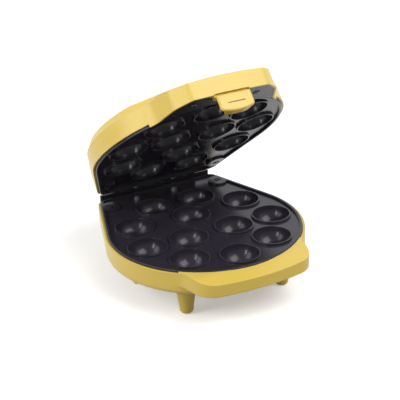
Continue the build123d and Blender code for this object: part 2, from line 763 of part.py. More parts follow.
def lid_body(inset):
    """Outside of the lid, or its hollow when inset by one wall."""
    wall_top = PARTING_Z + LID_WALL_H - inset * 0.4
    bevel_top = PARTING_Z + LID_WALL_H + BEVEL_H - inset
    outline = shell_profile(lid_grip(), inset)
    body = slab(outline, PARTING_Z - 1, wall_top)
    rise = bevel_top - wall_top
    body += extrude(Pos(0, 0, wall_top) * outline, rise, dir=(0, 0, 1), taper=BEVEL_ANGLE)
    ball = Pos(0, 0, CROWN_Z - CROWN_R - inset) * Rot(90, 0, 0) * Sphere(CROWN_R)
    inside = SHELL_GROW - inset - BEVEL_H * math.tan(math.radians(BEVEL_ANGLE))
    body += slab(body_profile(inside), bevel_top - 1, CROWN_Z) & ball
    slope = math.radians(LID_TOP_SLOPE)
    axis_y = -LID_NOSE + LID_TOP_BOW_R * math.sin(slope)
    axis_z = PARTING_Z + LID_NOSE_H - LID_TOP_BOW_R * math.cos(slope)
    along = Plane(origin=(0, axis_y, axis_z), z_dir=(0, math.cos(slope), math.sin(slope)))
    return body & (along * Cylinder(LID_TOP_BOW_R - inset, 2 * FAR))


def lid_knuckle(x_low, x_high):
    """Hinge knuckle with the web that joins it to the back wall."""
    web_z = (HINGE_Z - BARREL_R / 2, HINGE_Z + BARREL_R)
    web = block((x_low, x_high), (SHELL_REAR - WALL / 2, HINGE_Y), web_z)
    return web + cross_rod(x_low, x_high, HINGE_Y, HINGE_Z, BARREL_R)


def latch_lug_span():
    """X limits of the lug beside the latch, for +X."""
    inner = LATCH_HALF + LATCH_SIDE_GAP
    return inner, inner + LATCH_LUG_T


def lid_shell():
    """Upper housing: shell, upper grip, posts, latch lugs and hinge knuckles."""
    shell = lid_body(0)
    shell -= lid_body(WALL)
    shell -= upside_down(seam_cut())
    shell -= block((-FAR, FAR), (-FAR, FAR), (0, PARTING_Z - LID_LIP))
    roof = lid_body(WALL / 2)
    plate_seat_z = 2 * PARTING_Z - WEB_LOW_Z
    for x, y in ear_places():
        shell += post(x, y, POST_R, plate_seat_z, CROWN_Z) & roof
    for x, y in seat_places():
        shell += post(x, y, SEAT_R, plate_seat_z, CROWN_Z) & roof
    for x, y in standoff_places():
        shell += post(x, y, STANDOFF_R, 2 * PARTING_Z - REFLECTOR_Z, CROWN_Z) & roof
    cover_top_z = PARTING_Z - LID_LIP + COVER_SET + COVER_T
    for x in (-COVER_SCREW_X, COVER_SCREW_X):
        shell += post(x, -COVER_SCREW_Y, COVER_POST_R, cover_top_z, CROWN_Z) & roof
    lug_low, lug_high = latch_lug_span()
    lug = cross_rod(lug_low, lug_high, -LATCH_PIVOT_Y, PIVOT_Z, LATCH_LUG_R)
    lug_y = (-LATCH_PIVOT_Y - LATCH_LUG_R, LATCH_LUG_R - LATCH_PIVOT_Y)
    lug += block((lug_low, lug_high), lug_y, (PIVOT_Z, CROWN_Z)) & roof
    front_y = (WALL / 2 - LID_NOSE, -LATCH_PIVOT_Y)
    lug += block((lug_low, lug_high), front_y, (PIVOT_Z - 1, PIVOT_Z + LATCH_LUG_R)) & roof
    knuckle = lid_knuckle(HINGE_X - KNUCKLE_HALF, HINGE_X + KNUCKLE_HALF)
    for piece in mirrored_pair(lug) + mirrored_pair(knuckle):
        shell += piece
    shell += lid_knuckle(-WIRE_TUBE_HALF, WIRE_TUBE_HALF)
    notch = (-LATCH_HALF - LATCH_SIDE_GAP, LATCH_HALF + LATCH_SIDE_GAP)
    shell -= block(notch, (-LID_NOSE - 1, WALL * 1.5 - LID_NOSE), (0, PARTING_Z - LID_LIP + LATCH_NOTCH))
    bore_x = (HINGE_X - KNUCKLE_HALF - 1, HINGE_X + KNUCKLE_HALF + 1)
    pin_bore = cross_rod(*bore_x, HINGE_Y, HINGE_Z, PIN_R + KNUCKLE_FIT)
    for bore in mirrored_pair(pin_bore):
        shell -= bore
    shell -= cross_rod(-WIRE_TUBE_HALF - 1, WIRE_TUBE_HALF + 1, HINGE_Y, HINGE_Z, WIRE_TUBE_BORE)
    wire_slot = WIRE_TUBE_HALF / 2
    slot_z = (HINGE_Z - LEAD_R * 1.6, HINGE_Z + LEAD_R * 1.6)
    shell -= block((-wire_slot, wire_slot), (SHELL_REAR - WALL - 1, HINGE_Y), slot_z)
    shell -= cross_rod(-lug_high, lug_high, -LATCH_PIVOT_Y, PIVOT_Z, LATCH_PIN_R + PIN_FIT)
    for x, y in ear_places():
        shell -= post(x, y, SCREW_R + SCREW_FIT, plate_seat_z - 1, plate_seat_z + SCREW_LENGTH)
    for x in (-COVER_SCREW_X, COVER_SCREW_X):
        screw_top_z = cover_top_z + SCREW_LENGTH
        shell -= post(x, -COVER_SCREW_Y, SCREW_R + SCREW_FIT, cover_top_z - 1, screw_top_z)
    for x in (-LAMP_X, LAMP_X):
        shell -= post(x, LAMP_Y, LENS_R + LENS_FIT, CEILING_Z - WALL, FAR)
    return shell


def handle_cover():
    """Panel that closes the upper grip from below, with two screw recesses."""
    low_z = PARTING_Z - LID_LIP + COVER_SET
    outline = shell_profile(lid_grip(), WALL + COVER_GAP) - body_profile(PLATE_GAP + COVER_GAP)
    cover = slab(outline, low_z, low_z + COVER_T)
    cover = cover & slab(front_sector(), 0, FAR)
    lug_gap = latch_lug_span()[1] + LATCH_SIDE_GAP
    stop_y = LATCH_BARREL_R + COVER_GAP - LATCH_PIVOT_Y
    cover -= block((-lug_gap, lug_gap), (-FAR, stop_y), (0, FAR))
    lug_y = LATCH_LUG_R + COVER_GAP - LATCH_PIVOT_Y
    for x_low, x_high in (latch_lug_span(), tuple(-x for x in reversed(latch_lug_span()))):
        cover -= block((x_low - LATCH_SIDE_GAP, x_high + LATCH_SIDE_GAP), (-FAR, lug_y), (0, FAR))
    for x in (-COVER_SCREW_X, COVER_SCREW_X):
        cover += post(x, -COVER_SCREW_Y, RECESS_R + WALL / 2, low_z, low_z + COVER_T)
        cover -= post(x, -COVER_SCREW_Y, RECESS_R, low_z - 1, low_z + COVER_T / 2)
        cover -= post(x, -COVER_SCREW_Y, SCREW_R + SCREW_FIT, low_z - 1, FAR)
    return cover


def cover_screws():
    """Two screws up through the grip cover."""
    seat_z = PARTING_Z - LID_LIP + COVER_SET + COVER_T / 2
    screws = []
    for x in (-COVER_SCREW_X, COVER_SCREW_X):
        screws.append(mirror(pan_screw(x, -COVER_SCREW_Y, seat_z), about=Plane.XY.offset(seat_z)))
    return group(screws)


def latch_outline():
    """Front view of the latch, with a bowed lower edge and rounded corners."""
    half = LATCH_HALF
    low_z = -LATCH_SIDE_BOTTOM
    side = Polyline((-half, low_z), (-half, -LATCH_TOP), (half, -LATCH_TOP), (half, low_z))
    lower = ThreePointArc((-half, low_z), (0, -LATCH_BOTTOM), (half, low_z))
    return round_pair(make_face(side.edges() + lower.edges()), low_z, LATCH_CORNER_R)


def latch():
    """Clip that hangs from the upper grip and hooks under the lower one."""
    half = LATCH_HALF
    face_y = -LATCH_FACE
    top_z = PARTING_Z - LATCH_TOP
    back_y = LATCH_BARREL_R - LATCH_PIVOT_Y
    outline = Pos(0, 0, PARTING_Z) * (Plane.XZ * latch_outline())
    body = Pos(0, face_y, 0) * extrude(outline, LATCH_T, dir=(0, 1, 0))
    body = fillet(body.edges().group_by(Axis.Y)[0], LATCH_ROUND)
    hook_z = PARTING_Z - LATCH_HOOK_TOP
    hook_y = (face_y + LATCH_T - 0.4, face_y + LATCH_HOOK_REACH)
    hook = block((-LATCH_HOOK_HALF, LATCH_HOOK_HALF), hook_y, (hook_z - LATCH_HOOK_T, hook_z))
    hook = fillet(hook.edges().filter_by(Axis.Z).group_by(Axis.Y)[-1], LATCH_CORNER_R)
    body += hook & extrude(outline, FAR, both=True)
    body += block((-half, half), (face_y + LATCH_T - 0.4, back_y), (top_z - LATCH_WEB_T, top_z))
    barrel_y = (-LATCH_PIVOT_Y - LATCH_BARREL_R, back_y)
    body += block((-half, half), barrel_y, (top_z - LATCH_WEB_T, PIVOT_Z))
    body += cross_rod(-half, half, -LATCH_PIVOT_Y, PIVOT_Z, LATCH_BARREL_R)
    body -= cross_rod(-half - 1, half + 1, -LATCH_PIVOT_Y, PIVOT_Z, LATCH_PIN_R + KNUCKLE_FIT)
    groove_z = PARTING_Z - LATCH_GROOVE_DROP
    return body - block(
        (-LATCH_GROOVE_HALF, LATCH_GROOVE_HALF), (face_y - 1, face_y + LATCH_T / 3),
        (groove_z - SLOT_W / 2, groove_z + SLOT_W / 2),
    )


def latch_pin():
    """Steel pin through both lugs and the latch."""
    reach = latch_lug_span()[1]
    return cross_rod(-reach, reach, -LATCH_PIVOT_Y, PIVOT_Z, LATCH_PIN_R)


def lamp_lens(x):
    """Domed lens pressed into the top of the lid."""
    crown_z = CROWN_Z - CROWN_R + math.sqrt(CROWN_R ** 2 - x ** 2 - LAMP_Y ** 2)
    body = post(x, LAMP_Y, LENS_R, crown_z + LENS_PROUD - LENS_H, crown_z + LENS_PROUD)
    return fillet(body.edges().group_by(Axis.Z)[-1], LENS_PROUD)


def lamp_holder():
    """Small bracket with two neon lamps under the lenses, on the reflector."""
    low_z = 2 * PARTING_Z - REFLECTOR_Z
    half = LAMP_X + NEON_LENGTH / 2
    holder_y = (LAMP_Y - HOLDER_W / 2, LAMP_Y + HOLDER_W / 2)
    holder = block((-half, half), holder_y, (low_z, low_z + HOLDER_T))
    for x in (-LAMP_X, LAMP_X):
        start = x - NEON_LENGTH / 2
        holder += cross_rod(start, start + NEON_LENGTH, LAMP_Y, low_z + HOLDER_T + NEON_R * 0.8, NEON_R)
    return holder


def lid_leads():
    """Leads from the hollow hinge tube to the upper heater."""
    heater_z = 2 * PARTING_Z - HEATER_Z
    pin_y = HEATER_END_Y + HEATER_PIN_LENGTH
    tube_x = WIRE_TUBE_HALF - LEAD_INSET - LUG_GAP
    bend_y = PLATE_REAR - LEAD_STEP * 1.5
    leads = []
    for side in (-1, 1):
        x = side * (tube_x - LEAD_STEP)
        leads.append(lead(
            (side * tube_x, HINGE_Y, HINGE_Z), (x, HINGE_Y, HINGE_Z), (x, bend_y, HINGE_Z),
            (x, bend_y, heater_z), (x, pin_y + LEAD_R, heater_z),
        ))
    return group(leads)


# All pieces by node name

def base_pieces():
    """Pieces that stand still."""
    pieces = {
        "base_shell": base_shell(),
        "foot_screws": foot_screws(),
        "lower_plate": cooking_plate(),
        "lower_plate_screws": plate_screws(),
        "lower_heater": heater(),
        "lower_heater_straps": heater_straps(),
        "lower_strap_screws": strap_screws(),
        "lower_reflector": reflector(),
        "thermostat": thermostat(),
        "thermal_fuse": thermal_fuse(),
        "terminal_block": terminal_block(),
        "base_leads": base_leads(),
        "cord_gland": cord_gland(),
        "hinge_block": hinge_block(),
        "hinge_block_screws": hinge_block_screws(),
    }
    pieces["right_hinge_pin"], pieces["left_hinge_pin"] = mirrored_pair(hinge_pin())
    for name, (x, y) in foot_places().items():
        pieces[name] = foot(x, y)
    return pieces


def lid_pieces():
    """Pieces that turn with the lid, drawn closed."""
    return {
        "lid_shell": lid_shell(),
        "lid_handle_cover": handle_cover(),
        "handle_cover_screws": cover_screws(),
        "upper_plate": upside_down(cooking_plate()),
        "upper_plate_screws": upside_down(plate_screws()),
        "upper_heater": upside_down(heater()),
        "upper_heater_straps": upside_down(heater_straps()),
        "upper_strap_screws": upside_down(strap_screws()),
        "upper_reflector": upside_down(reflector()),
        "power_lamp_lens": lamp_lens(-LAMP_X),
        "ready_lamp_lens": lamp_lens(LAMP_X),
        "lamp_holder": lamp_holder(),
        "lid_leads": lid_leads(),
        "latch_pin": latch_pin(),
        "latch": latch(),
    }


def opened(shape):
    """A closed lid piece turned to where the lid stands."""
    return shape.rotate(Axis((0, HINGE_Y, HINGE_Z), (1, 0, 0)), -LID_OPEN)


def main():
    """Write one STEP file for each piece."""
    os.makedirs("parts", exist_ok=True)
    pieces = base_pieces()
    for name, shape in lid_pieces().items():
        pieces[name] = opened(shape)
    for name, shape in pieces.items():
        export_step(Pos(0, -BOX_MIDDLE_Y, 0) * shape, os.path.join("parts", name + ".step"))
        print(f"{name}: {len(shape.solids())} solids, {shape.volume / 1000:.2f} cm3")


main()
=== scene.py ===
"""Looks of the cake-ball maker: its studio, its finishes and the pieces drawn over its frame."""

import logging
import math
from collections.abc import Callable
from dataclasses import dataclass, field
from enum import Enum
from functools import partial

import bmesh
import bpy
from mathutils import Matrix, Vector


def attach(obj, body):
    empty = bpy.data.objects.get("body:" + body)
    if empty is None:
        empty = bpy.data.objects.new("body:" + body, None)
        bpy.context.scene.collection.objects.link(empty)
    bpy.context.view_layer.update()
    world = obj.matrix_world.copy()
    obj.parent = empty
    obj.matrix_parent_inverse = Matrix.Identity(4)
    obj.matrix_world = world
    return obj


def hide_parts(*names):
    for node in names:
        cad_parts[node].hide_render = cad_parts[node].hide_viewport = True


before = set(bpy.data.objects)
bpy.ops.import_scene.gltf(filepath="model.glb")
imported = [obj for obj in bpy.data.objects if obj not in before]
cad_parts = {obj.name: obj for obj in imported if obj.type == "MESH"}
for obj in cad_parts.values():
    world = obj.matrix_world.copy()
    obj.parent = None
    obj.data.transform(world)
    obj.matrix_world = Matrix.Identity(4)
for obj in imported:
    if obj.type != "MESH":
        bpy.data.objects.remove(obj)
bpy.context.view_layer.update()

LOG = logging.getLogger("cake_ball_maker")

Colour = tuple[float, float, float]
Point = tuple[float, float, float]
Socket = bpy.types.NodeSocket
Tree = bpy.types.NodeTree
Mesh = bmesh.types.BMesh
Verts = list[bmesh.types.BMVert]
Numbers = dict[str, float]
Pair = tuple[float, float]
Value = Socket | float
Tint = Socket | Colour

WHITE = (1.0, 1.0, 1.0)
MIX_FIRST, MIX_SECOND, MIX_RESULT = 6, 7, 2  # a Mix node's colour sockets, which share their names


class Body(Enum):
    """The moving groups that pieces ride on."""

    BASE = "base"
    LID = "lid"
    LATCH = "latch"


class Grain(Enum):
    """How the fine texture of a surface runs."""

    EVEN = (1.0, 1.0, 1.0)
    ROLLED = (1.0, 0.04, 1.0)
    DRAWN = (0.1, 1.0, 0.1)


class Effect(Enum):
    """Effects that several finishes share, by the name of their node group."""

    SKIN = "skin_texture"
    TONE = "tone_drift"
    DUST = "settled_dust"
    SMEAR = "handling_smears"


@dataclass(frozen=True)
class HingeLine:
    """The line that the lid turns about.

    Attributes:
        y: Distance behind the middle of the object, in metres.
        z: Height above the table, in metres.
        angle: How far the lid stands open, in radians.
    """

    y: float = 0.1194
    z: float = 0.0657
    angle: float = math.radians(42.2)

    def opened(self) -> Matrix:
        """Gives the move that takes a closed-lid place to its open-lid place.

        Returns:
            The matrix that turns the lid open about the hinge.
        """
        pivot = Matrix.Translation(Vector((0.0, self.y, self.z)))
        return pivot @ Matrix.Rotation(-self.angle, 4, "X") @ pivot.inverted()


class MeshBench:
    """Tools that turn outlines into meshes of this object."""

    @staticmethod
    def lathe(mesh: Mesh, profile: list[Pair], place: Matrix, steps: int) -> None:
        """Adds a turned shape to a mesh.

        Args:
            mesh: The mesh that receives the shape.
            profile: Radius and height of each point, in metres.
            place: Where the shape's own axis stands.
            steps: Number of faces round the shape.
        """
        rings = []
        for radius, height in profile:
            if radius <= 0.0:
                rings.append([mesh.verts.new(place @ Vector((0.0, 0.0, height)))])
                continue
            rings.append(MeshBench.ring(mesh, place, radius, steps, lambda turn: height))
        for low, high in zip(rings, rings[1:]):
            MeshBench.bridge(mesh, low, high)

    @staticmethod
    def ring(mesh: Mesh, place: Matrix, radius: float, steps: int, rise: Callable[[float], float]) -> Verts:
        """Adds one ring of points to a mesh.

        Args:
            mesh: The mesh that receives it.
            place: Where the ring's own axis stands.
            radius: The ring's radius, in metres.
            steps: Number of points.
            rise: Gives a point's height from its angle, in metres.

        Returns:
            The new points.
        """
        points = []
        for step in range(steps):
            turn = 2.0 * math.pi * step / steps
            point = Vector((radius * math.cos(turn), radius * math.sin(turn), rise(turn)))
            points.append(mesh.verts.new(place @ point))
        return points

    @staticmethod
    def bridge(mesh: Mesh, low: Verts, high: Verts) -> None:
        """Joins two rings of points, either of which may be a single point.

        Args:
            mesh: The mesh that holds both rings.
            low: The first ring.
            high: The second ring.
        """
        steps = max(len(low), len(high))
        for step in range(steps):
            after = (step + 1) % steps
            lower = [low[step % len(low)], low[after % len(low)]]
            upper = [high[after % len(high)], high[step % len(high)]]
            mesh.faces.new(list(dict.fromkeys(lower + upper)))

    @staticmethod
    def finish(mesh: Mesh, name: str, body: Body, slot: str, smooth: bool = True) -> bpy.types.Object:
        """Makes a piece from a mesh and lets it ride on its body.

        Args:
            mesh: The finished mesh, which is freed here.
            name: The piece's name.
            body: The body that carries it.
            slot: The record's material slot that it belongs to; it is not used.
            smooth: False for a piece with flat faces.

        Returns:
            The new object.
        """
        bmesh.ops.recalc_face_normals(mesh, faces=mesh.faces)
        data = bpy.data.meshes.new(name)
        mesh.to_mesh(data)
        mesh.free()
        for polygon in data.polygons:
            polygon.use_smooth = smooth
        piece = bpy.data.objects.new(name, data)
        bpy.context.collection.objects.link(piece)
        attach(piece, body.value)
        LOG.info("piece %s rides on %s with %d faces", name, body.value, len(data.polygons))
        return piece


class EffectLibrary:
    """Builds each shared effect once, as a shader node group."""

    COARSE_SCALE = 0.31
    COARSE_WEIGHT = 0.6
    FINE_DETAIL = 3.0
    COARSE_DETAIL = 1.0
    DRIFT_DETAIL = 2.0
    DUST_SCALE = 160.0
    DUST_DETAIL = 4.0
    DUST_FALL_OFF = 3.0
    SMEAR_SCALE = 30.0
    SMEAR_DETAIL = 3.0
    SMEAR_TURN = (0.3, 0.5, 0.7)
    SMEAR_STRETCH = (1.0, 2.6, 1.4)
    HALF = 0.5

    def __init__(self) -> None:
        """Starts with no groups built."""
        self.groups: dict[Effect, Tree] = {}

    def get(self, effect: Effect) -> Tree:
        """Gives an effect's node group, building it the first time.

        Args:
            effect: The effect that is wanted.

        Returns:
            Its node group.
        """
        if effect not in self.groups:
            makers = {
                Effect.SKIN: self.skin_texture,
                Effect.TONE: self.tone_drift,
                Effect.DUST: self.settled_dust,
                Effect.SMEAR: self.handling_smears,
            }
            self.groups[effect] = makers[effect]()
        return self.groups[effect]

    @staticmethod
    def sheet(effect: Effect, wants: Numbers, gives: list[str]) -> Tree:
        """Starts a node group with named inputs and outputs.

        Args:
            effect: The effect that the group is for.
            wants: Each input's name and usual value.
            gives: Each output's name.

        Returns:
            The group, with its input and output nodes placed.
        """
        tree = bpy.data.node_groups.new(effect.value, "ShaderNodeTree")
        for name, usual in wants.items():
            socket = tree.interface.new_socket(name=name, in_out="INPUT", socket_type="NodeSocketFloat")
            socket.default_value = usual
        for name in gives:
            tree.interface.new_socket(name=name, in_out="OUTPUT", socket_type="NodeSocketFloat")
        tree.nodes.new("NodeGroupInput").name = "wants"
        tree.nodes.new("NodeGroupOutput").name = "gives"
        return tree

    @staticmethod
    def reckon(tree: Tree, operation: str, first: Value, second: Value) -> Socket:
        """Adds one step of arithmetic to a node tree.

        Args:
            tree: The tree that receives it.
            operation: The math node's operation.
            first: A socket or a number.
            second: A socket or a number.

        Returns:
            The result's socket.
        """
        node = tree.nodes.new("ShaderNodeMath")
        node.operation = operation
        for socket, value in zip(node.inputs, (first, second)):
            if isinstance(value, (int, float)):
                socket.default_value = value
            else:
                tree.links.new(value, socket)
        return node.outputs[0]

    @staticmethod
    def noise(tree: Tree, where: Socket, scale: Value, detail: float) -> Socket:
        """Adds a noise pattern to a node tree.

        Args:
            tree: The tree that receives it.
            where: The coordinates it is read at.
            scale: A socket or a number, in features per metre.
            detail: How many finer layers it has.

        Returns:
            The pattern's value.
        """
        node = tree.nodes.new("ShaderNodeTexNoise")
        node.inputs["Detail"].default_value = detail
        if isinstance(scale, (int, float)):
            node.inputs["Scale"].default_value = scale
        else:
            tree.links.new(scale, node.inputs["Scale"])
        tree.links.new(where, node.inputs["Vector"])
        return node.outputs["Fac"]

    def skin_texture(self) -> Tree:
        """Builds the fine height of a moulded, cast, rolled or drawn skin.

        Returns:
            The group, with its height and a matching shade.
        """
        wants = {"Scale": 1800.0, "Stretch X": 1.0, "Stretch Y": 1.0, "Stretch Z": 1.0}
        tree = self.sheet(Effect.SKIN, wants, ["Height", "Shade"])
        source = tree.nodes["wants"]
        places = tree.nodes.new("ShaderNodeTexCoord").outputs["Object"]
        stretch = tree.nodes.new("ShaderNodeCombineXYZ")
        for axis in "XYZ":
            tree.links.new(source.outputs["Stretch " + axis], stretch.inputs[axis])
        scaled = tree.nodes.new("ShaderNodeVectorMath")
        scaled.operation = "MULTIPLY"
        tree.links.new(places, scaled.inputs[0])
        tree.links.new(stretch.outputs[0], scaled.inputs[1])
        fine = self.noise(tree, scaled.outputs[0], source.outputs["Scale"], self.FINE_DETAIL)
        wide = self.reckon(tree, "MULTIPLY", source.outputs["Scale"], self.COARSE_SCALE)
        coarse = self.noise(tree, scaled.outputs[0], wide, self.COARSE_DETAIL)
        height = self.reckon(tree, "ADD", fine, self.reckon(tree, "MULTIPLY", coarse, self.COARSE_WEIGHT))
        tree.links.new(height, tree.nodes["gives"].inputs["Height"])
        tree.links.new(coarse, tree.nodes["gives"].inputs["Shade"])
        return tree

    def tone_drift(self) -> Tree:
        """Builds the slow drift of colour over a moulded or coated surface.

        Returns:
            The group, with a mask between the two tones.
        """
        tree = self.sheet(Effect.TONE, {"Scale": 14.0, "Contrast": 1.0}, ["Mask"])
        source = tree.nodes["wants"]
        places = tree.nodes.new("ShaderNodeTexCoord").outputs["Object"]
        cloud = self.noise(tree, places, source.outputs["Scale"], self.DRIFT_DETAIL)
        centred = self.reckon(tree, "SUBTRACT", cloud, self.HALF)
        raised = self.reckon(tree, "MULTIPLY", centred, source.outputs["Contrast"])
        mask = tree.nodes.new("ShaderNodeClamp")
        tree.links.new(self.reckon(tree, "ADD", raised, self.HALF), mask.inputs["Value"])
        tree.links.new(mask.outputs[0], tree.nodes["gives"].inputs["Mask"])
        return tree

    def settled_dust(self) -> Tree:
        """Builds a thin, broken film of dust on faces that look up.

        Returns:
            The group, with the film's mask.
        """
        tree = self.sheet(Effect.DUST, {"Amount": 0.1}, ["Mask"])
        source = tree.nodes["wants"]
        ways = tree.nodes.new("ShaderNodeSeparateXYZ")
        tree.links.new(tree.nodes.new("ShaderNodeNewGeometry").outputs["Normal"], ways.inputs[0])
        facing = self.reckon(tree, "MAXIMUM", ways.outputs["Z"], 0.0)
        upward = self.reckon(tree, "POWER", facing, self.DUST_FALL_OFF)
        places = tree.nodes.new("ShaderNodeTexCoord").outputs["Object"]
        broken = self.noise(tree, places, self.DUST_SCALE, self.DUST_DETAIL)
        film = self.reckon(tree, "MULTIPLY", upward, broken)
        shown = self.reckon(tree, "MULTIPLY", film, source.outputs["Amount"])
        tree.links.new(shown, tree.nodes["gives"].inputs["Mask"])
        return tree

    def handling_smears(self) -> Tree:
        """Builds soft smears that hands and cloths leave, as uneven roughness.

        Returns:
            The group, with the roughness that they leave.
        """
        tree = self.sheet(Effect.SMEAR, {"Roughness": 0.4, "Spread": 0.1}, ["Roughness"])
        source = tree.nodes["wants"]
        places = tree.nodes.new("ShaderNodeTexCoord").outputs["Object"]
        bent = tree.nodes.new("ShaderNodeMapping")
        bent.inputs["Rotation"].default_value = self.SMEAR_TURN
        bent.inputs["Scale"].default_value = self.SMEAR_STRETCH
        tree.links.new(places, bent.inputs["Vector"])
        cloud = self.noise(tree, bent.outputs[0], self.SMEAR_SCALE, self.SMEAR_DETAIL)
        centred = self.reckon(tree, "SUBTRACT", cloud, self.HALF)
        swing = self.reckon(tree, "MULTIPLY", centred, source.outputs["Spread"])
        smeared = self.reckon(tree, "ADD", source.outputs["Roughness"], swing)
        tree.links.new(smeared, tree.nodes["gives"].inputs["Roughness"])
        return tree


@dataclass(frozen=True)
class Finish:
    """One surface finish and the numbers that set it apart.

    Attributes:
        name: The material's name.
        light: The paler of its two tones, linear.
        dark: The darker of its two tones, linear.
        roughness: Its middle roughness.
        smear: How far smears move the roughness.
        grain: Which way its fine texture runs.
        grain_scale: Fine texture features per metre.
        grain_depth: Height of the fine texture, in metres.
        drift_scale: Colour drift features per metre.
        dust: How much dust shows on top.
        dust_tone: The dust's colour, linear.
        metallic: One for bare metal.
        specular: Strength of the plain reflection.
        coat: Weight of a clear top layer.
        coat_roughness: Roughness of that layer.
        transmission: One for clear pieces.
        contrast: How sharply the two tones part.
    """

    name: str
    light: Colour
    dark: Colour
    roughness: float
    smear: float = 0.08
    grain: Grain = Grain.EVEN
    grain_scale: float = 1800.0
    grain_depth: float = 0.00002
    drift_scale: float = 14.0
    dust: float = 0.04
    dust_tone: Colour = (0.55, 0.53, 0.50)
    metallic: float = 0.0
    specular: float = 0.5
    coat: float = 0.0
    coat_roughness: float = 0.2
    transmission: float = 0.0
    contrast: float = 1.6

    def build(self, effects: EffectLibrary) -> bpy.types.Material:
        """Builds the finish as a node material.

        Args:
            effects: The shared effects it places.

        Returns:
            The material.
        """
        material = bpy.data.materials.new(self.name)
        material.use_nodes = True
        tree = material.node_tree
        shader = tree.nodes["Principled BSDF"]
        shader.inputs["Metallic"].default_value = self.metallic
        shader.inputs["Specular IOR Level"].default_value = self.specular
        shader.inputs["Coat Weight"].default_value = self.coat
        shader.inputs["Coat Roughness"].default_value = self.coat_roughness
        shader.inputs["Transmission Weight"].default_value = self.transmission
        tree.links.new(self.colour(tree, effects), shader.inputs["Base Color"])
        wants = {"Roughness": self.roughness, "Spread": self.smear}
        smears = self.place(tree, effects, Effect.SMEAR, wants)
        tree.links.new(smears.outputs["Roughness"], shader.inputs["Roughness"])
        wants = {"Stretch " + axis: share for axis, share in zip("XYZ", self.grain.value)}
        wants["Scale"] = self.grain_scale
        skin = self.place(tree, effects, Effect.SKIN, wants)
        bump = tree.nodes.new("ShaderNodeBump")
        bump.inputs["Distance"].default_value = self.grain_depth
        tree.links.new(skin.outputs["Height"], bump.inputs["Height"])
        tree.links.new(bump.outputs["Normal"], shader.inputs["Normal"])
        return material

    def colour(self, tree: Tree, effects: EffectLibrary) -> Socket:
        """Places the drift between the two tones and the dust over it.

        Args:
            tree: The material's nodes.
            effects: The shared effects.

        Returns:
            The colour's socket.
        """
        wants = {"Scale": self.drift_scale, "Contrast": self.contrast}
        drift = self.place(tree, effects, Effect.TONE, wants)
        tones = self.mix(tree, drift.outputs["Mask"], self.dark, self.light)
        film = self.place(tree, effects, Effect.DUST, {"Amount": self.dust})
        return self.mix(tree, film.outputs["Mask"], tones, self.dust_tone)

    @staticmethod
    def mix(tree: Tree, mask: Socket, first: Tint, second: Tint) -> Socket:
        """Blends two colours by a mask.

        Args:
            tree: The material's nodes.
            mask: Zero gives the first colour and one the second.
            first: A colour or a colour socket.
            second: A colour or a colour socket.

        Returns:
            The blended colour's socket.
        """
        node = tree.nodes.new("ShaderNodeMix")
        node.data_type = "RGBA"
        tree.links.new(mask, node.inputs[0])
        for socket, value in ((node.inputs[MIX_FIRST], first), (node.inputs[MIX_SECOND], second)):
            if isinstance(value, tuple):
                socket.default_value = (*value, 1.0)
            else:
                tree.links.new(value, socket)
        return node.outputs[MIX_RESULT]

    @staticmethod
    def place(tree: Tree, effects: EffectLibrary, effect: Effect, values: Numbers) -> bpy.types.Node:
        """Places a shared effect in a material with its own values.

        Args:
            tree: The material's nodes.
            effects: The shared effects.
            effect: The one to place.
            values: Its input values by name.

        Returns:
            The placed group node.
        """
        node = tree.nodes.new("ShaderNodeGroup")
        node.node_tree = effects.get(effect)
        for name, value in values.items():
            node.inputs[name].default_value = value
        return node


